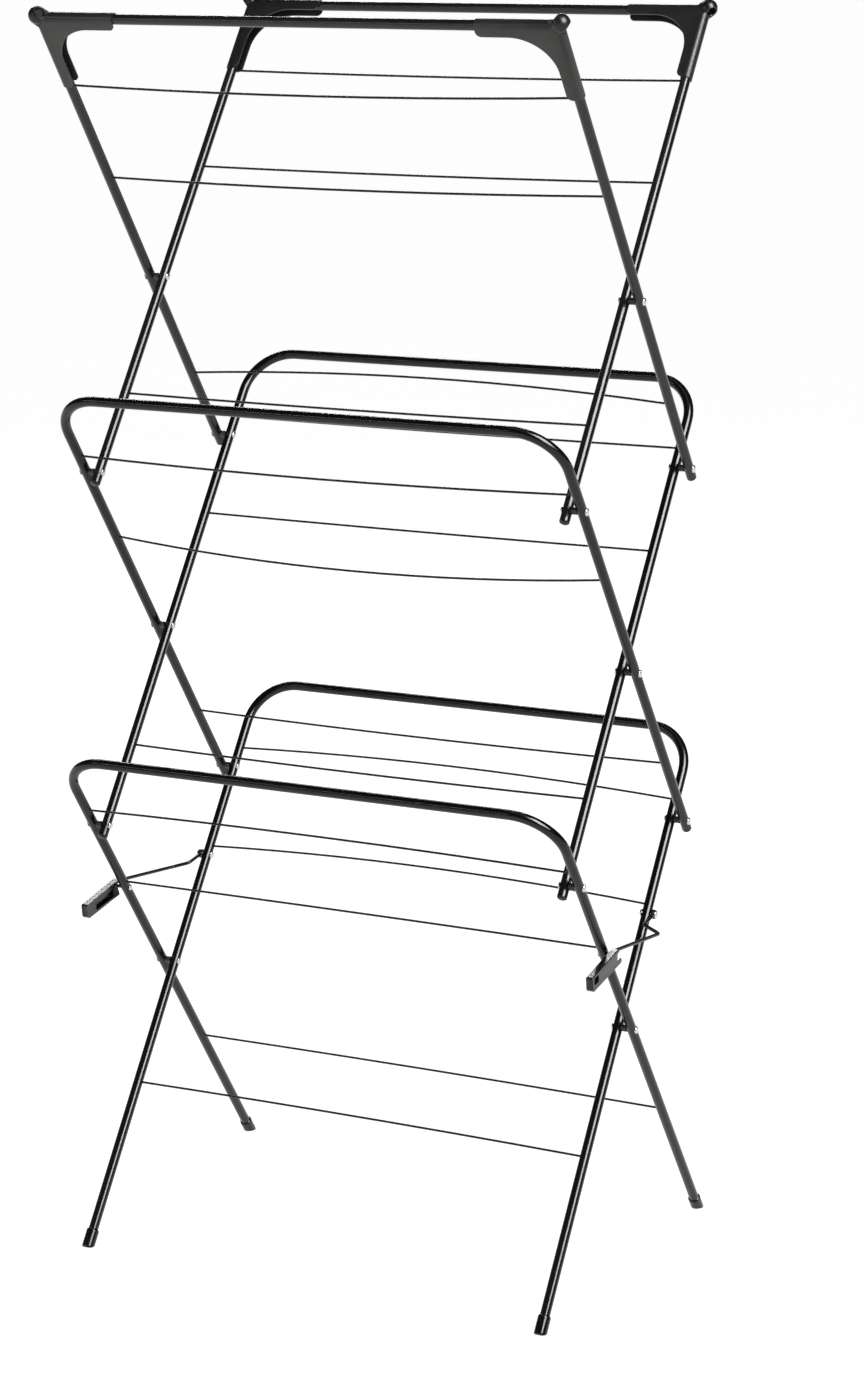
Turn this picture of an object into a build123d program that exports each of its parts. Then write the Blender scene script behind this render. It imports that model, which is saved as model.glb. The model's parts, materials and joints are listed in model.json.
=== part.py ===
from build123d import *
from math import asin, cos, degrees, radians, sin
import os

# Three-tier folding clothes airer, modelled open, in millimetres.
# Z is up, X runs along the hanging wires, -Y is the front. The origin is on the floor, under the
# middle of the airer. Six frames cross in three scissor pairs. The inner frames lean back as they
# rise, from front feet to rear rails, and the outer frames lean forward.

# ---- driving dimensions ----
LEAN = 36.55            # angle of every frame from the vertical, when open
OUTER_HALF = 295.0      # from the middle to the side tubes of the outer frames
TUBE_D = 11.0
TUBE_WALL = 1.0
TUBE_GAP = 5.5          # between an inner frame's tube and the outer frame's beside it
LEG = 345.0             # from the lowest crossing down the tube to the floor
ARM = 248.0             # from a crossing to the pivots above and below it
RAIL_RISE = 110.5       # from a pivot up the tube to the rail of a bent frame
TOP_ARM = 364.0         # from the top crossing up the tube to the top rail
BEND_R = 52.0           # bend of the four bent frames, at the tube's middle
OVERHANG = 12.0         # tube left below a pivot, before its plug

# hanging wires, as distances up the tube from the frame's crossing
WIRE_D = 2.5
WIRE_LOW = -149.0
WIRE_MID = 145.0
WIRE_HIGH = 272.0       # in the four bent frames
WIRE_TOP = 274.0        # in the two top frames
WIRE_PLAY = 0.1         # around a wire in its hole
WIRE_INSIDE = 1.8       # wire end past the tube's inner face
# how far the middle of each wire hangs below its ends, or bows above them where negative:
# low, mid and high wire of each frame
WIRE_SAG = {
    ("lower", "inner"): (-2.0, -8.5, -7.4),
    ("lower", "outer"): (-1.5, -1.0, -3.5),
    ("middle", "inner"): (2.0, 1.0, 1.0),
    ("middle", "outer"): (2.6, 14.7, 4.8),
    ("top", "inner"): (1.5, 1.8, 2.0),
    ("top", "outer"): (-10.7, 4.0, 5.0),
}

# pivots
RIVET_D = 4.0
RIVET_PLAY = 0.08       # running clearance around a rivet, in the tube that turns on it
RIVET_HEAD_D = 8.4
RIVET_HEAD_H = 2.2
SEAT_DEPTH = 0.6        # flat pressed into the tube under a head or a bush
SEAT_D = 9.0
BUSH_D = 7.6
BUSH_PLAY = 0.1         # between a bush and the tube that turns beside it

# plastic ends
FOOT_D = 14.2
FOOT_LENGTH = 12.0
FOOT_SOLE = 3.0         # plastic under the end of the tube
FOOT_ROUND = 2.5
FOOT_BELOW = 3.0        # the rounded end would reach this far past the floor, before it is cut flat
PLUG_SPIGOT = 9.0
PLUG_DOME = 4.2

# plastic corners
CORNER_ARM = 88.0       # from where the tube axes meet to an arm's end
CORNER_WALL = 1.35
CORNER_FIT = 0.05       # around the tube
CORNER_DEPTH = 9.5      # from the tube's axis to the open edge of an arm
CORNER_INNER_R = 45.0
CORNER_TIP_R = 6.0
CHAMFER_IN = 1.0        # from where the axes meet, inwards to the chamfer
CHAMFER_WALL = 2.2
TUBE_SETBACK = 14.0     # from where the axes meet to the ends of the tubes
EYE_OUT = 5.6           # from where the axes meet, outwards to the eye
EYE_HOLE_D = 10.0
EYE_RIM = 4.8
EYE_LENGTH = 14.0
EYE_MOUTH_R = 1.6

# locking stays
STAY_AT = 134.0         # from the lowest crossing up the tube to the stay's rivet and to the stud
STAY_D = 4.0
STAY_PLAY = 0.1
STAY_OUT = 12.0         # from the outer tube's axis to the straight part of the stay
STAY_STRAIGHT = 29.0    # from the rivet forwards to the first bend
STAY_FALL = 4.0         # that run falls by this much
STAY_JOG = 4.0          # length of the jog, front to back
STAY_DROP = 6.5         # the jog falls by this much
STAY_BEND_R = 5.0
STAY_KNEE_R = 12.0
STAY_SIDE_GAP = 1.2     # between the stay's loop and the inner tube's face
LOOP_D = 10.4
LOOP_THICK = 3.6
LOOP_TO_WIRE = 3.2      # from the middle of the loop to the start of the wire
STUD_D = 4.0
STUD_HEAD_D = 8.0
STUD_HEAD_H = 1.1
STUD_TAIL_D = 6.4
STUD_TAIL_H = 1.6
STUD_CLEAR = 0.3        # between the stay and the stud it rests on, and beside a turning loop

# handles of the stays: lengths along and across the handle, from the stud
HANDLE_SLOPE = 8.5
HANDLE_FRONT = 71.0
HANDLE_BACK = 9.0       # lower lip, behind the stud
HANDLE_BACK_TOP = 2.0   # the top ends nearer the stud
HANDLE_TOP = 8.0
HANDLE_TAPER = 1.6      # the top falls by this much towards the front
HANDLE_EDGE_R = 0.8
HANDLE_BOTTOM = 10.2
HANDLE_BOTTOM_FRONT = 10.6
HANDLE_INNER_WALL = 0.8  # inner wall, beside the stay
HANDLE_PLATE = 1.2      # outer wall, beyond the stud's head
HANDLE_KNEE = 5.0       # behind the stud, where the stay bends into line with the handle
HANDLE_GRIP = 38.0      # how far the stay reaches into the handle, past the stud
HANDLE_ROUND = 2.4
HANDLE_NOSE = 3.0       # slanted lower corner at the front
HOOK_PLAY = 0.4         # in front of the stud, all the way up as the handle lifts
LIP_D = 9.4             # round end of the slot in the outer wall
SLOT_TOP = 4.3          # from the stud up to the roof of the slot
WINDOW_FROM = 10.5      # from the front end to the middle of the thumb recess
WINDOW_LENGTH = 12.0
WINDOW_HEIGHT = 8.0
WINDOW_DEPTH = 3.5
CHANNEL_FROM = 13.0     # channel moulded in the inner face, below the stay
CHANNEL_TO = 52.0
CHANNEL_TOP = 1.4
CHANNEL_BOTTOM = 7.8
CHANNEL_DEPTH = 4.4

# ---- places worked out from the driving dimensions ----
TUBE_R = TUBE_D / 2
INNER_HALF = OUTER_HALF - TUBE_D - TUBE_GAP
RAIL_AT = ARM + RAIL_RISE
CROSS_Z = [(LEG + 2 * ARM * tier) * cos(radians(LEAN)) for tier in range(3)]
STAY_X = OUTER_HALF + STAY_OUT
STUD_HEAD_X = STAY_X + STAY_D / 2 + STUD_CLEAR
LOOP_IN = INNER_HALF + TUBE_R + STAY_SIDE_GAP
HANDLE_IN = STAY_X - STAY_D / 2 - HANDLE_INNER_WALL
HANDLE_OUT = STUD_HEAD_X + STUD_HEAD_H + STUD_CLEAR + HANDLE_PLATE
LEG_TUBE = LEG - (FOOT_SOLE + TUBE_R * sin(radians(LEAN))) / cos(radians(LEAN))
EAST, WEST = 1, -1


def tube_place(inner, tier):
    """Place of a frame: local X stays X, local Y runs up the tubes, from the frame's crossing."""
    turn = 90 - LEAN if inner else 90 + LEAN
    return Pos(0, 0, CROSS_Z[tier]) * Rot(turn, 0, 0)


def half_width(inner):
    return INNER_HALF if inner else OUTER_HALF


def rod(start, end, radius):
    """Straight round bar between two points."""
    way = Vector(*end) - Vector(*start)
    return extrude(Plane(origin=start, z_dir=way) * Circle(radius), way.length)


def bent_rod(points, bends, radius):
    """Round bar along straight runs joined by tangent arcs."""
    path = FilletPolyline(*points, radius=bends)
    return sweep(Plane(path @ 0, z_dir=path % 0) * Circle(radius), path=path)


def mirrored(shape):
    return mirror(shape, about=Plane.YZ)


def both_sides(shape):
    """A right-hand piece and its mirror image, as two separate solids."""
    return [shape, mirrored(shape)]


def joint_point(tier, side):
    """(y, z) of a pivot: side 0 is a tier's crossing, -1 its front pivot, 1 its rear pivot."""
    y = side * ARM * sin(radians(LEAN))
    return y, CROSS_Z[tier] + abs(side) * ARM * cos(radians(LEAN))


def arm_point(side):
    """(y, z) of the stay's stud, in front, or of its rivet, behind."""
    y = side * STAY_AT * sin(radians(LEAN))
    return y, CROSS_Z[0] + STAY_AT * cos(radians(LEAN))


def save(name, *solids):
    pieces = [piece for shape in solids for piece in shape.solids()]
    whole = pieces[0] if len(pieces) == 1 else Compound(children=pieces)
    export_step(whole, f"parts/{name}.step")


# ---- tubes ----
def wire_hole(x, at):
    return rod((x - 2 * TUBE_R, at, 0), (x, at, 0), WIRE_D / 2 + WIRE_PLAY)


def pivot_hole(x, at, turns):
    """Hole for a rivet, with a flat seat pressed into each side of the tube."""
    radius = RIVET_D / 2 + (RIVET_PLAY if turns else 0)
    cut = rod((x - TUBE_D, at, 0), (x + TUBE_D, at, 0), radius)
    for side in (EAST, WEST):
        seat = x + side * (TUBE_R - SEAT_DEPTH)
        cut += rod((seat, at, 0), (seat + side * TUBE_R, at, 0), SEAT_D / 2)
    return cut


def cross_hole(x, at, radius):
    return rod((x - TUBE_D, at, 0), (x + TUBE_D, at, 0), radius)


def bent_frame(inner, tier, bottom, pivots, wires, stay_at=None, stay_hole=0):
    """One tube bent into an upside-down U, with its holes; a stay's pin goes right across."""
    x = half_width(inner)
    points = [(-x, bottom, 0), (-x, RAIL_AT, 0), (x, RAIL_AT, 0), (x, bottom, 0)]
    tube = bent_rod(points, BEND_R, TUBE_R) - bent_rod(points, BEND_R, TUBE_R - TUBE_WALL)
    right = [pivot_hole(x, at, turns) for at, turns in pivots]
    right += [wire_hole(x, at) for at in wires]
    if stay_at:
        right.append(cross_hole(x, stay_at, stay_hole))
    cuts = [cut for hole in right for cut in (hole, mirror(hole, about=Plane.YZ))]
    return tube_place(inner, tier) * (tube - cuts)


def straight_tube(start, end, cuts):
    tube = rod(start, end, TUBE_R) - rod(start, end, TUBE_R - TUBE_WALL)
    return tube - cuts if cuts else tube


def top_side_tube(inner, side, pivots, wires):
    x = half_width(inner)
    cuts = [pivot_hole(x, at, turns) for at, turns in pivots] + [wire_hole(x, at) for at in wires]
    tube = straight_tube((x, -ARM - OVERHANG, 0), (x, TOP_ARM - TUBE_SETBACK, 0), cuts)
    if side == WEST:
        tube = mirror(tube, about=Plane.YZ)
    return tube_place(inner, 2) * tube


def top_rail(inner):
    end = half_width(inner) - TUBE_SETBACK
    return tube_place(inner, 2) * straight_tube((-end, TOP_ARM, 0), (end, TOP_ARM, 0), [])


# ---- hanging wires ----
def hanging_wire(inner, tier, at, sag):
    """Wire held in the inner faces of a frame's tubes; its middle hangs lower by the sag."""
    end = half_width(inner) - TUBE_R + WIRE_INSIDE
    place = tube_place(inner, tier) * Pos(0, at, 0)
    y, z = place.position.Y, place.position.Z
    # the ends are set so that the sloping wire is centred in the walls it passes through
    z_end = z + (WIRE_INSIDE - TUBE_WALL / 2) * 4 * sag / (2 * end)
    path = ThreePointArc((-end, y, z_end), (0, y, z - sag), (end, y, z_end))
    return sweep(Plane(path @ 0, z_dir=path % 0) * Circle(WIRE_D / 2), path=path)


# ---- rivets, bushes ----
def rivet(at, inner_play, outer_play):
    """Right-hand pivot at (y, z): a rivet through both tubes, and the bush between them."""
    y, z = at
    seat = TUBE_R - SEAT_DEPTH
    low, high = INNER_HALF - seat, OUTER_HALF + seat
    shank = rod((low, y, z), (high, y, z), RIVET_D / 2)
    heads = [dome_head((low, y, z), WEST), dome_head((high, y, z), EAST)]
    pin = shank + heads
    start, end = INNER_HALF + seat + inner_play, OUTER_HALF - seat - outer_play
    bush = rod((start, y, z), (end, y, z), BUSH_D / 2) - rod((start, y, z), (end, y, z), RIVET_D / 2)
    return pin, bush


def dome_solid(diameter, height):
    """Round cap on the XY plane, a short straight rim under a dome that rises along Z."""
    rim = height / 4
    half = diameter / 2
    shoulder = (half * cos(radians(45)), rim + (height - rim) * sin(radians(45)))
    side = Polyline((0, 0), (half, 0), (half, rim))
    dome = Spline((half, rim), shoulder, (0, height), tangents=[(0, 1), (-1, 0)])
    profile = make_face(side + dome + Line((0, height), (0, 0)))
    return revolve(Plane.XZ * profile, Axis.Z)


def dome_head(at, side, diameter=RIVET_HEAD_D, height=RIVET_HEAD_H):
    """Domed head whose flat face is at a point, rising along X."""
    return Pos(*at) * Rot(0, 90 * side, 0) * dome_solid(diameter, height)


# ---- feet and plugs ----
def foot(inner):
    """Cap on the end of a leg, cut flat where it stands on the floor."""
    x = half_width(inner)
    blank = rod((x, -LEG - FOOT_BELOW, 0), (x, FOOT_LENGTH - LEG_TUBE, 0), FOOT_D / 2)
    blank = fillet(blank.edges().filter_by(GeomType.CIRCLE), FOOT_ROUND)
    cap = blank - rod((x, -LEG_TUBE, 0), (x, 0, 0), TUBE_R)
    above_floor = Pos(0, 0, 2 * LEG) * Box(4 * OUTER_HALF, 4 * LEG, 4 * LEG)
    return (tube_place(inner, 0) * cap) & above_floor


def end_plug(inner, tier):
    """Domed plug in the bottom end of a tube."""
    x = half_width(inner)
    end = -ARM - OVERHANG
    dome = Rot(90, 0, 0) * dome_solid(TUBE_D, PLUG_DOME)
    spigot = rod((x, end, 0), (x, end + PLUG_SPIGOT, 0), TUBE_R - TUBE_WALL)
    return tube_place(inner, tier) * (Pos(x, end, 0) * dome + spigot)


# ---- corners ----
def corner_web(depth, reach, tip_r):
    """L-shaped side wall, p inwards along the rail and q down the side tube, from their meeting."""
    edge = [(0, 0), (reach, 0), (reach, depth), (depth, depth), (depth, reach), (0, reach)]
    face = make_face(Polyline(*edge, close=True))
    hollow = face.vertices().filter_by(lambda v: abs(v.X - depth) + abs(v.Y - depth) < 0.001)
    face = fillet(hollow, CORNER_INNER_R)
    tips = face.vertices().filter_by(lambda v: abs(v.X + v.Y - depth - reach) < 0.001)
    return fillet(tips, tip_r) if tip_r else face


def corner_shape(radius, depth, reach, tip_r):
    """Both arms as a solid: half round over the tubes, flat-sided towards the open edge."""
    shape = extrude(corner_web(depth, reach, tip_r), radius, both=True)
    shape += rod((-radius, 0, 0), (reach, 0, 0), radius)
    return shape + rod((0, -radius, 0), (0, reach, 0), radius)


def diagonal(distance):
    """Place on the corner's diagonal, local X pointing inwards."""
    return Rot(0, 0, 45) * Pos(distance, 0, 0)


def outer_half_space(distance):
    """Block that holds everything further out than a place on the diagonal."""
    size = 2 * CORNER_ARM
    return diagonal(distance - size / 2) * Box(size, size, size)


def corner(inner, side):
    """Channel over both tubes, open inwards, with a hanger eye on its chamfer."""
    fit_r = TUBE_R + CORNER_FIT
    out_r = fit_r + CORNER_WALL
    wall_end = CHAMFER_IN + CHAMFER_WALL
    shell = corner_shape(out_r, CORNER_DEPTH, CORNER_ARM, CORNER_TIP_R)
    hollow = corner_shape(fit_r, CORNER_DEPTH + CORNER_WALL, CORNER_ARM + CORNER_WALL, 0)
    body = (shell - outer_half_space(CHAMFER_IN)) - (hollow - outer_half_space(wall_end))
    body += eye(out_r) & outer_half_space(wall_end)
    body -= eye_hole()
    x = half_width(inner)
    placed = Pos(x, TOP_ARM, 0) * Rot(0, 0, 180) * body
    return tube_place(inner, 2) * (mirrored(placed) if side == WEST else placed)


def eye_place():
    """Middle of the eye, local Z along its hole, which runs along the chamfer."""
    return diagonal(-EYE_OUT) * Rot(90, 0, 0)


def eye(half_thickness):
    """Ball with flat ends, and the block that joins it to the chamfer."""
    radius = EYE_HOLE_D / 2 + EYE_RIM
    ball = Sphere(radius) & Box(2 * radius, 2 * radius, EYE_LENGTH)
    foot_of_eye = Pos(radius, 0, 0) * Box(2 * radius, 2 * half_thickness, EYE_LENGTH)
    return eye_place() * (ball + foot_of_eye)


def eye_hole():
    """Hole with rounded mouths."""
    bore, end = EYE_HOLE_D / 2, EYE_LENGTH / 2
    mouth, lip = end - EYE_MOUTH_R, bore + EYE_MOUTH_R
    curve = ThreePointArc((bore, mouth),
                          (lip - EYE_MOUTH_R * cos(radians(45)), mouth + EYE_MOUTH_R * sin(radians(45))),
                          (lip, end))
    edges = Polyline((0, 0), (bore, 0), (bore, mouth)) + curve
    edges += Polyline((lip, end), (bore, end), (bore, 3 * end), (0, 3 * end), (0, 0))
    half = revolve(Plane.XZ * make_face(edges), Axis.Z)
    return eye_place() * (half + mirror(half, about=Plane.XY))


# ---- locking stays ----
def handle_plane():
    """The right-hand handle's outer face: X forwards along it, Y up across it, origin at the stud."""
    y, z = arm_point(-1)
    slope = radians(HANDLE_SLOPE)
    return Plane(origin=(HANDLE_OUT, y, z), x_dir=(0, -cos(slope), -sin(slope)), z_dir=(-1, 0, 0))


def stay_points():
    """Route of the right-hand stay, from its loop on the rear tube to its end in the handle."""
    pivot_y, pivot_z = arm_point(1)
    stud_y, stud_z = arm_point(-1)
    beside = LOOP_IN + LOOP_THICK / 2
    jog_y, jog_z = pivot_y - STAY_STRAIGHT, pivot_z - STAY_FALL
    start_z = pivot_z - STAY_FALL * LOOP_TO_WIRE / STAY_STRAIGHT
    slope = radians(HANDLE_SLOPE)
    over_stud = stud_z + (STUD_D / 2 + STUD_CLEAR + STAY_D / 2) / cos(slope)
    knee_y, knee_z = stud_y + HANDLE_KNEE * cos(slope), over_stud + HANDLE_KNEE * sin(slope)
    tip_y, tip_z = stud_y - HANDLE_GRIP * cos(slope), over_stud - HANDLE_GRIP * sin(slope)
    return [(beside, pivot_y - LOOP_TO_WIRE, start_z), (beside, jog_y, jog_z),
            (STAY_X, jog_y - STAY_JOG, jog_z - STAY_DROP), (STAY_X, knee_y, knee_z),
            (STAY_X, tip_y, tip_z)]


def stay():
    """Bent wire whose rear end is flattened into a loop round its rivet."""
    y, z = arm_point(1)
    start, end = (LOOP_IN, y, z), (LOOP_IN + LOOP_THICK, y, z)
    wire = bent_rod(stay_points(), [STAY_BEND_R, STAY_BEND_R, STAY_KNEE_R], STAY_D / 2)
    return wire + rod(start, end, LOOP_D / 2) - rod(start, end, RIVET_D / 2 + STAY_PLAY)


def stay_rivet():
    """Rivet through the inner tube, which the stay's loop turns on."""
    y, z = arm_point(1)
    inner, outer = INNER_HALF - TUBE_R, LOOP_IN + LOOP_THICK + STUD_CLEAR
    shank = rod((inner, y, z), (outer, y, z), RIVET_D / 2)
    return shank + dome_head((outer, y, z), EAST) + dome_head((inner, y, z), WEST)


def stud():
    """Headed pin through the outer tube; the stay rests on it."""
    y, z = arm_point(-1)
    inner = OUTER_HALF - TUBE_R
    shank = rod((inner, y, z), (STUD_HEAD_X, y, z), STUD_D / 2)
    shank += dome_head((STUD_HEAD_X, y, z), EAST, STUD_HEAD_D, STUD_HEAD_H)
    return shank + dome_head((inner, y, z), WEST, STUD_TAIL_D, STUD_TAIL_H)


def handle():
    """Grip moulded on the stay. Its wall past the stud's head has a slot that is open behind."""
    top, bottom, back, front = HANDLE_TOP, -HANDLE_BOTTOM, -HANDLE_BACK, HANDLE_FRONT
    outline = make_face(Polyline((back, bottom), (front - HANDLE_NOSE, -HANDLE_BOTTOM_FRONT),
                                 (front, HANDLE_NOSE - HANDLE_BOTTOM_FRONT),
                                 (front, top - HANDLE_TAPER), (-HANDLE_BACK_TOP, top), close=True))
    outline = fillet(outline.vertices(), HANDLE_ROUND)
    thick = HANDLE_OUT - HANDLE_IN
    body = extrude(outline, thick)
    body = fillet(body.faces().sort_by(Axis.Z)[0].edges(), HANDLE_EDGE_R)
    below_roof = Pos(0, SLOT_TOP - CORNER_ARM, 0) * Box(4 * CORNER_ARM, 2 * CORNER_ARM, 4 * CORNER_ARM)
    slot = Pos(back, 0, 0) * Box(2 * HANDLE_BACK, LIP_D, 2 * thick) + Cylinder(LIP_D / 2, 2 * thick)
    # inside the outer wall, room for the stud as the handle swings up about the stay's rivet
    pivot = Vector(2 * STAY_AT * sin(radians(LEAN)), 0, 0).rotate(Axis.Z, 180 - HANDLE_SLOPE)
    reach = 2 * STAY_AT * sin(radians(LEAN)) + HOOK_PLAY
    swing = Pos(pivot.X, pivot.Y, HANDLE_PLATE) * hub(reach + STUD_HEAD_D / 2, STUD_HEAD_H + 2 * STUD_CLEAR)
    swing += Pos(pivot.X, pivot.Y, HANDLE_PLATE) * hub(reach + STUD_D / 2, thick)
    window = Pos(front - WINDOW_FROM, 0, 0) * Box(WINDOW_LENGTH, WINDOW_HEIGHT, 2 * WINDOW_DEPTH)
    window = fillet(window.edges().filter_by(Axis.Z), HANDLE_ROUND)
    channel = Pos((CHANNEL_FROM + CHANNEL_TO) / 2, (CHANNEL_TOP - CHANNEL_BOTTOM) / 2, thick)
    channel *= Box(CHANNEL_TO - CHANNEL_FROM, CHANNEL_TOP + CHANNEL_BOTTOM, 2 * CHANNEL_DEPTH)
    channel = fillet(channel.edges().filter_by(Axis.Z), HANDLE_ROUND)
    body = body - (slot & below_roof) - (swing & below_roof) - window - channel
    return handle_plane().location * body - stay()


def hub(radius, height):
    return Cylinder(radius, height, align=(Align.CENTER, Align.CENTER, Align.MIN))


# ---- the pieces, one file each ----
os.makedirs("parts", exist_ok=True)

SIDES = {"left": WEST, "right": EAST}
CROSS_PIVOT, FRONT_PIVOT, REAR_PIVOT = 0, -1, 1
# the tube that carries a rivet holds it tight, and the other one turns on it
TIGHT, TURNS = False, True
BENT_WIRES = [WIRE_LOW, WIRE_MID, WIRE_HIGH]
TOP_WIRES = [WIRE_LOW, WIRE_MID, WIRE_TOP]

save("lower_inner_frame", bent_frame(True, 0, -LEG_TUBE, [(0, TIGHT), (ARM, TIGHT)], BENT_WIRES,
                                     STAY_AT, RIVET_D / 2))
save("lower_outer_frame", bent_frame(False, 0, -LEG_TUBE, [(0, TURNS), (ARM, TIGHT)], BENT_WIRES,
                                     STAY_AT, STUD_D / 2))
BOTTOM = -ARM - OVERHANG
save("middle_inner_frame",
     bent_frame(True, 1, BOTTOM, [(-ARM, TURNS), (0, TIGHT), (ARM, TIGHT)], BENT_WIRES))
save("middle_outer_frame",
     bent_frame(False, 1, BOTTOM, [(-ARM, TURNS), (0, TURNS), (ARM, TIGHT)], BENT_WIRES))

for inner, frame in ((True, "inner"), (False, "outer")):
    save(f"top_{frame}_rail", top_rail(inner))
    for side_name, side in SIDES.items():
        save(f"top_{frame}_{side_name}_tube",
             top_side_tube(inner, side, [(-ARM, TURNS), (0, not inner)], TOP_WIRES))
        save(f"{frame}_{side_name}_corner", corner(inner, side))
    save(f"{frame}_feet", *both_sides(foot(inner)))
    for tier, tier_name in ((1, "middle"), (2, "top")):
        save(f"{tier_name}_{frame}_end_plugs", *both_sides(end_plug(inner, tier)))

# name, place, and whether the inner and the outer tube turn on the rivet
PIVOTS = [
    ("lower_cross", joint_point(0, CROSS_PIVOT), TIGHT, TURNS),
    ("lower_front", joint_point(0, FRONT_PIVOT), TURNS, TIGHT),
    ("lower_rear", joint_point(0, REAR_PIVOT), TIGHT, TURNS),
    ("middle_cross", joint_point(1, CROSS_PIVOT), TIGHT, TURNS),
    ("middle_front", joint_point(1, FRONT_PIVOT), TURNS, TIGHT),
    ("middle_rear", joint_point(1, REAR_PIVOT), TIGHT, TURNS),
    ("top_cross", joint_point(2, CROSS_PIVOT), TIGHT, TURNS),
]
for name, place, inner_turns, outer_turns in PIVOTS:
    pin, bush = rivet(place, BUSH_PLAY * inner_turns, BUSH_PLAY * outer_turns)
    save(f"{name}_rivets", *both_sides(pin))
    save(f"{name}_bushes", *both_sides(bush))

for tier, tier_name in enumerate(("lower", "middle", "top")):
    for inner, frame in ((True, "inner"), (False, "outer")):
        heights = TOP_WIRES if tier == 2 else BENT_WIRES
        sags = WIRE_SAG[tier_name, frame]
        for at, height_name, sag in zip(heights, ("low", "mid", "high"), sags):
            save(f"{tier_name}_{frame}_wire_{height_name}", hanging_wire(inner, tier, at, sag))

save("stay_studs", *both_sides(stud()))
save("stay_rivets", *both_sides(stay_rivet()))
for side_name, side in SIDES.items():
    for name, piece in (("stay", stay()), ("stay_handle", handle())):
        save(f"{side_name}_{name}", mirrored(piece) if side == WEST else piece)
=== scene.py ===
# Three-tier folding clothes airer: materials, floor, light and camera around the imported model.
import json
from math import cos, radians, sin

import bmesh
import bpy
from mathutils import Matrix, Vector

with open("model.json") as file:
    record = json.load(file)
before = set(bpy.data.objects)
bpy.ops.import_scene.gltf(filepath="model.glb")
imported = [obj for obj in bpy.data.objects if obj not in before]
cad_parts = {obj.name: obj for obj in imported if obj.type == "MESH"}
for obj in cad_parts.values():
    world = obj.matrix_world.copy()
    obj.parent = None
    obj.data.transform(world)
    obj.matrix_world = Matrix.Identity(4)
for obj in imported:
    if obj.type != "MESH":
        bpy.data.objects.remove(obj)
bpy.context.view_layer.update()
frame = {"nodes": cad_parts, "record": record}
NODES = frame["nodes"]

# ---- camera: metres, radians, and pixels of a PICTURE_W x PICTURE_H picture ----
PICTURE_W, PICTURE_H = 864, 1390
EYE_POINT = (1.6785, -3.3786, 1.5048)
YAW, PITCH, ROLL = 0.45996, -0.20126, -0.0036
FOCAL_PX = 3493.3
CENTRE_MOVED_PX = (-40.0, -100.0)      # principal point from the picture's middle, right and down
SENSOR_MM = 36.0

# ---- stage ----
FLOOR_RADIUS = 90.0
FLOOR_RINGS = 24
FLOOR_SEGMENTS = 96
FLOOR_GLOW = 0.95
FLOOR_COLOUR = (0.55, 0.55, 0.545)
FLOOR_CLOUD = (0.58, 0.58, 0.575)
WORLD_COLOUR = (0.75, 0.77, 0.80)
WORLD_STRENGTH = 0.08
LIGHT_AIM = Vector((0.0, 0.0, 0.7))
LIGHT_DISTANCE = 4.5

# ---- strength of the reflection straight off each coating; Blender's own default is 0.5 ----
COAT_SPECULAR = 0.36
PLASTIC_SPECULAR = 0.40
FLOOR_SPECULAR = 0.0


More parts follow.
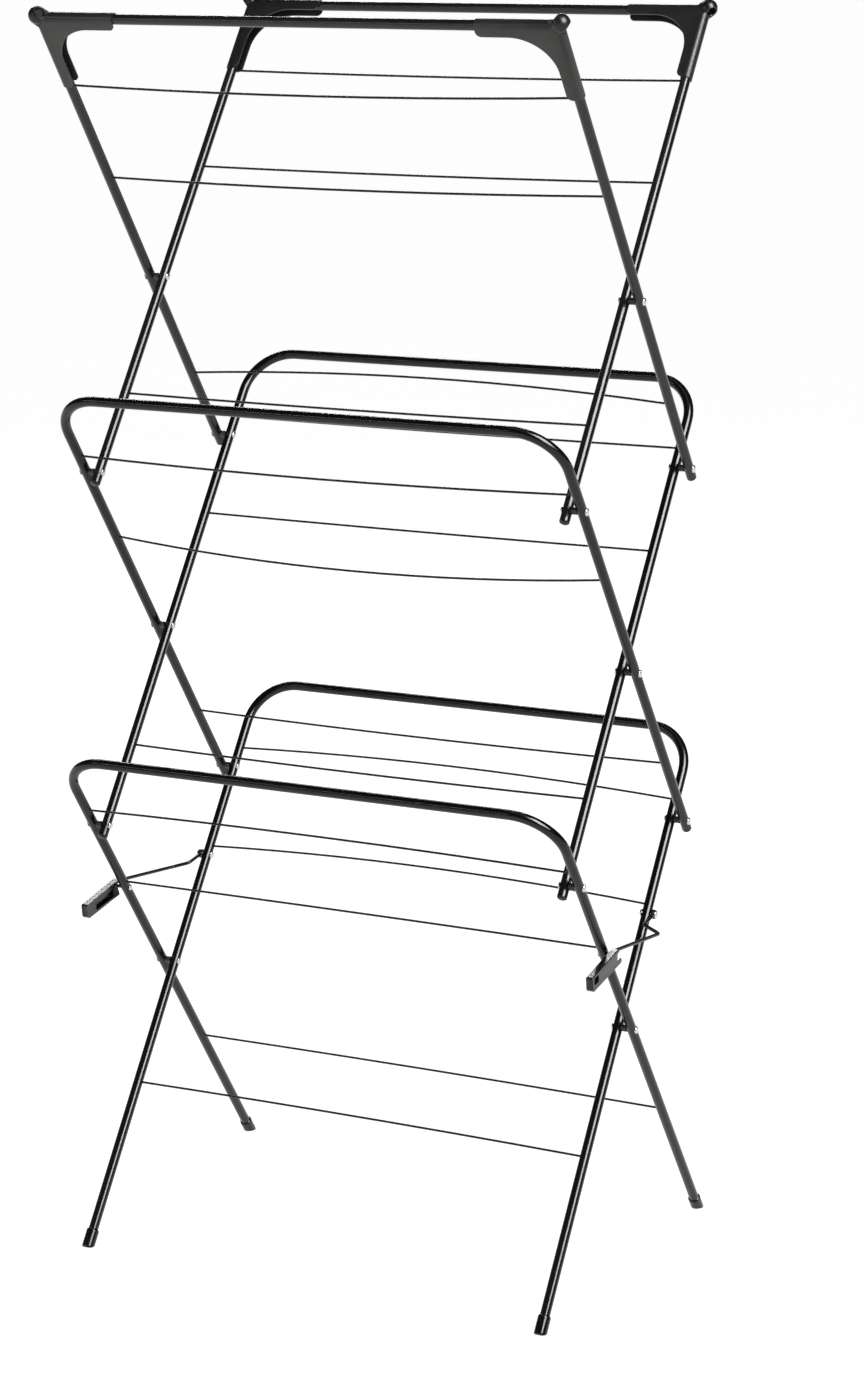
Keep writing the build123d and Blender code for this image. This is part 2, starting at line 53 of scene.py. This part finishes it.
# ---- shader helpers ----
class Shader:
    """A node material under construction. Its coordinates are the object's own, in metres."""

    def __init__(self, name):
        self.material = bpy.data.materials.new(name)
        self.material.use_nodes = True
        self.tree = self.material.node_tree
        self.tree.nodes.clear()
        self.bsdf = self.node("ShaderNodeBsdfPrincipled")
        output = self.node("ShaderNodeOutputMaterial")
        self.link(self.bsdf.outputs["BSDF"], output.inputs["Surface"])
        self.place = self.node("ShaderNodeTexCoord").outputs["Object"]

    def node(self, kind, **values):
        made = self.tree.nodes.new(kind)
        for key, value in values.items():
            setattr(made, key, value)
        return made

    def link(self, source, target):
        self.tree.links.new(source, target)

    def stretched(self, scale):
        """Coordinates squeezed by a different amount along each axis."""
        mapping = self.node("ShaderNodeMapping")
        mapping.inputs["Scale"].default_value = scale
        self.link(self.place, mapping.inputs["Vector"])
        return mapping.outputs["Vector"]

    def noise(self, scale, detail=3.0, roughness=0.5, place=None):
        made = self.node("ShaderNodeTexNoise")
        made.inputs["Scale"].default_value = scale
        made.inputs["Detail"].default_value = detail
        made.inputs["Roughness"].default_value = roughness
        self.link(place or self.place, made.inputs["Vector"])
        return made.outputs["Fac"]

    def cells(self, scale):
        made = self.node("ShaderNodeTexVoronoi", feature="SMOOTH_F1")
        made.inputs["Scale"].default_value = scale
        self.link(self.place, made.inputs["Vector"])
        return made.outputs["Distance"]

    def ramp(self, source, stops):
        """Colour ramp; each stop is a place from 0 to 1 and a colour or a grey level."""
        made = self.node("ShaderNodeValToRGB")
        elements = made.color_ramp.elements
        while len(elements) < len(stops):
            elements.new(0.5)
        for element, (at, colour) in zip(elements, stops):
            element.position = at
            level = colour if isinstance(colour, tuple) else (colour,) * 3
            element.color = (*level, 1.0)
        self.link(source, made.inputs["Fac"])
        return made.outputs["Color"]

    def mix(self, share, first, second):
        made = self.node("ShaderNodeMix", data_type="RGBA")
        self.link(share, made.inputs["Factor"])
        for socket, value in ((made.inputs[6], first), (made.inputs[7], second)):
            if isinstance(value, tuple):
                socket.default_value = (*value, 1.0)
            else:
                self.link(value, socket)
        return made.outputs[2]

    def spread(self, source, low, high):
        """Maps the middle of a noise's range to low..high."""
        made = self.node("ShaderNodeMapRange")
        for key, value in (("From Min", 0.3), ("From Max", 0.7), ("To Min", low), ("To Max", high)):
            made.inputs[key].default_value = value
        self.link(source, made.inputs["Value"])
        return made.outputs["Result"]

    def bump(self, height, depth, strength=1.0, over=None):
        """Bump of a depth in metres, on top of another one if given."""
        made = self.node("ShaderNodeBump")
        made.inputs["Distance"].default_value = depth
        made.inputs["Strength"].default_value = strength
        self.link(height, made.inputs["Height"])
        if over:
            self.link(over, made.inputs["Normal"])
        return made.outputs["Normal"]

    def edges(self, low, high):
        """0 on flats and 1 on worn convex edges."""
        pointy = self.node("ShaderNodeNewGeometry").outputs["Pointiness"]
        return self.ramp(pointy, [(low, 0.0), (high, 1.0)])

    def finish(self, colour, roughness, normal, **constants):
        self.link(colour, self.bsdf.inputs["Base Color"])
        self.link(roughness, self.bsdf.inputs["Roughness"])
        self.link(normal, self.bsdf.inputs["Normal"])
        for key, value in constants.items():
            self.bsdf.inputs[key.replace("_", " ")].default_value = value
        return self.material


def powder_coat(name, dark, light, worn, rough):
    """Semi-gloss black powder coat: a faint orange peel, soft cloudiness, rubbed edges."""
    s = Shader(name)
    cloud = s.noise(38.0, 4.0)
    colour = s.ramp(cloud, [(0.35, dark), (0.65, light)])
    colour = s.mix(s.edges(0.56, 0.66), colour, worn)
    specks = s.ramp(s.noise(2600.0, 1.0), [(0.70, 0.0), (0.78, 1.0)])
    colour = s.mix(specks, colour, worn)
    smudge = s.noise(14.0, 5.0, 0.6)
    peel = s.bump(s.noise(1500.0, 2.0), 0.000045, 0.55)
    normal = s.bump(s.noise(420.0, 2.0), 0.00010, 0.30, peel)
    return s.finish(colour, s.spread(smudge, *rough), normal, IOR=1.5,
                    Specular_IOR_Level=COAT_SPECULAR)


def moulded_plastic(name, dark, light, worn, rough, grain):
    """Black moulding with a spark-eroded grain, scuffed lighter along its edges."""
    s = Shader(name)
    colour = s.ramp(s.noise(60.0, 5.0, 0.6), [(0.35, dark), (0.65, light)])
    scuffs = s.noise(300.0, 3.0, 0.7, s.stretched((1.0, 0.35, 0.35)))
    colour = s.mix(s.ramp(scuffs, [(0.64, 0.0), (0.74, 0.35)]), colour, worn)
    colour = s.mix(s.edges(0.53, 0.62), colour, worn)
    grained = s.bump(s.cells(1500.0), grain, 0.6)
    normal = s.bump(s.noise(240.0, 3.0), 0.00015, 0.35, grained)
    return s.finish(colour, s.spread(s.noise(90.0, 4.0), *rough), normal, IOR=1.46,
                    Specular_IOR_Level=PLASTIC_SPECULAR)


def zinc_plate(name):
    """Bright plated steel with fine turning marks and dulled patches."""
    s = Shader(name)
    colour = s.ramp(s.noise(500.0, 4.0), [(0.35, (0.50, 0.51, 0.53)), (0.65, (0.72, 0.72, 0.73))])
    colour = s.mix(s.ramp(s.noise(260.0, 5.0, 0.7), [(0.62, 0.0), (0.75, 0.6)]), colour,
                   (0.30, 0.29, 0.27))
    marks = s.noise(900.0, 2.0, 0.5, s.stretched((1.0, 6.0, 6.0)))
    normal = s.bump(marks, 0.00003, 0.5)
    return s.finish(colour, s.spread(s.noise(700.0, 3.0), 0.16, 0.34), normal, Metallic=1.0)


TUBE = powder_coat("tube_powder_coat", (0.0035, 0.0035, 0.0030), (0.0065, 0.0065, 0.0058),
                   (0.030, 0.030, 0.028), (0.13, 0.21))
WIRE = powder_coat("wire_coat", (0.0025, 0.0025, 0.0023), (0.0045, 0.0045, 0.0042),
                   (0.025, 0.025, 0.023), (0.24, 0.36))
MOULDING = moulded_plastic("satin_black_moulding", (0.0095, 0.0095, 0.0085),
                           (0.0150, 0.0150, 0.0138), (0.055, 0.055, 0.051), (0.27, 0.38), 0.00004)
CAP = moulded_plastic("smooth_black_cap", (0.0045, 0.0045, 0.0042), (0.0080, 0.0080, 0.0075),
                      (0.035, 0.035, 0.033), (0.14, 0.24), 0.00001)
GRIP = moulded_plastic("gloss_black_grip", (0.0050, 0.0050, 0.0045), (0.0095, 0.0095, 0.0088),
                       (0.060, 0.060, 0.056), (0.16, 0.26), 0.00002)
ZINC = zinc_plate("bright_zinc")

SLOT_MATERIALS = {"tube_paint": TUBE, "wire_paint": WIRE, "moulding": MOULDING,
                  "cap_plastic": CAP, "bright_steel": ZINC}
for part in frame["record"]["subparts"]:
    is_grip = part["node"].endswith("handle")
    slots = NODES[part["node"]].data.materials
    slots.clear()
    slots.append(GRIP if is_grip else SLOT_MATERIALS[part["material_slot"]])


# ---- floor, world and lights ----
def floor():
    """Wide pale disc, as rings of quads round one central face.

    Most of its brightness is its own glow; the lamps and the world add the rest.
    """
    mesh = bmesh.new()
    rings = []
    for ring in range(1, FLOOR_RINGS + 1):
        radius = FLOOR_RADIUS * (ring / FLOOR_RINGS) ** 3
        turn = radians(360 / FLOOR_SEGMENTS)
        rings.append([mesh.verts.new((radius * cos(i * turn), radius * sin(i * turn), 0.0))
                      for i in range(FLOOR_SEGMENTS)])
    mesh.faces.new(rings[0])
    for inner, outer in zip(rings, rings[1:]):
        for i in range(FLOOR_SEGMENTS):
            j = (i + 1) % FLOOR_SEGMENTS
            mesh.faces.new((inner[i], outer[i], outer[j], inner[j]))
    data = bpy.data.meshes.new("studio_floor")
    mesh.to_mesh(data)
    mesh.free()
    disc = bpy.data.objects.new("studio_floor", data)
    bpy.context.scene.collection.objects.link(disc)
    s = Shader("pale_floor")
    colour = s.ramp(s.noise(1.5, 3.0), [(0.3, FLOOR_COLOUR), (0.7, FLOOR_CLOUD)])
    s.bsdf.inputs["Emission Color"].default_value = (1.0, 1.0, 1.0, 1.0)
    s.bsdf.inputs["Emission Strength"].default_value = FLOOR_GLOW
    data.materials.append(s.finish(colour, s.spread(s.noise(4.0, 3.0), 0.55, 0.65),
                                   s.bump(s.noise(900.0, 2.0), 0.0001, 0.2),
                                   Specular_IOR_Level=FLOOR_SPECULAR))


def softbox(name, azimuth, elevation, width, height, power, on_floor=True):
    """Rectangular light aimed at the airer, at degrees round from the front towards +X, and up.

    With on_floor=False it lights no matt surface at all, and shows only as a reflection.
    """
    turn, tilt = radians(azimuth), radians(elevation)
    outwards = Vector((sin(turn) * cos(tilt), -cos(turn) * cos(tilt), sin(tilt)))
    light = bpy.data.lights.new(name, "AREA")
    light.shape = "RECTANGLE"
    light.size, light.size_y, light.energy = width, height, power
    lamp = bpy.data.objects.new(name, light)
    lamp.visible_diffuse = on_floor
    lamp.location = LIGHT_AIM + LIGHT_DISTANCE * outwards
    lamp.rotation_euler = (-outwards).to_track_quat("-Z", "Y").to_euler()
    bpy.context.scene.collection.objects.link(lamp)


floor()
world = bpy.data.worlds.new("studio")
world.use_nodes = True
sky = world.node_tree.nodes["Background"]
sky.inputs["Color"].default_value = (*WORLD_COLOUR, 1.0)
sky.inputs["Strength"].default_value = WORLD_STRENGTH
bpy.context.scene.world = world

softbox("key_right", azimuth=66, elevation=41, width=2.6, height=3.4, power=620, on_floor=False)
softbox("back_left", azimuth=211, elevation=32, width=3.2, height=0.22, power=62)
softbox("front_left", azimuth=-34, elevation=22, width=2.6, height=0.16, power=16)
softbox("overhead", azimuth=0, elevation=84, width=2.4, height=2.4, power=10)


# ---- camera ----
def camera():
    ahead = Vector((-sin(YAW) * cos(PITCH), cos(YAW) * cos(PITCH), sin(PITCH)))
    level = ahead.cross(Vector((0, 0, 1))).normalized()
    upright = level.cross(ahead)
    right = level * cos(ROLL) + upright * sin(ROLL)
    up = upright * cos(ROLL) - level * sin(ROLL)
    turn = Matrix((right, up, -ahead)).transposed()
    data = bpy.data.cameras.new("camera")
    data.sensor_width = SENSOR_MM
    longest = max(PICTURE_W, PICTURE_H)
    data.lens = FOCAL_PX / longest * SENSOR_MM
    data.shift_x = -CENTRE_MOVED_PX[0] / longest
    data.shift_y = CENTRE_MOVED_PX[1] / longest
    data.clip_end = 3 * FLOOR_RADIUS
    eye = bpy.data.objects.new("camera", data)
    eye.matrix_world = Matrix.Translation(EYE_POINT) @ turn.to_4x4()
    bpy.context.scene.collection.objects.link(eye)
    bpy.context.scene.camera = eye


camera()
bpy.context.scene.view_settings.view_transform = "Standard"
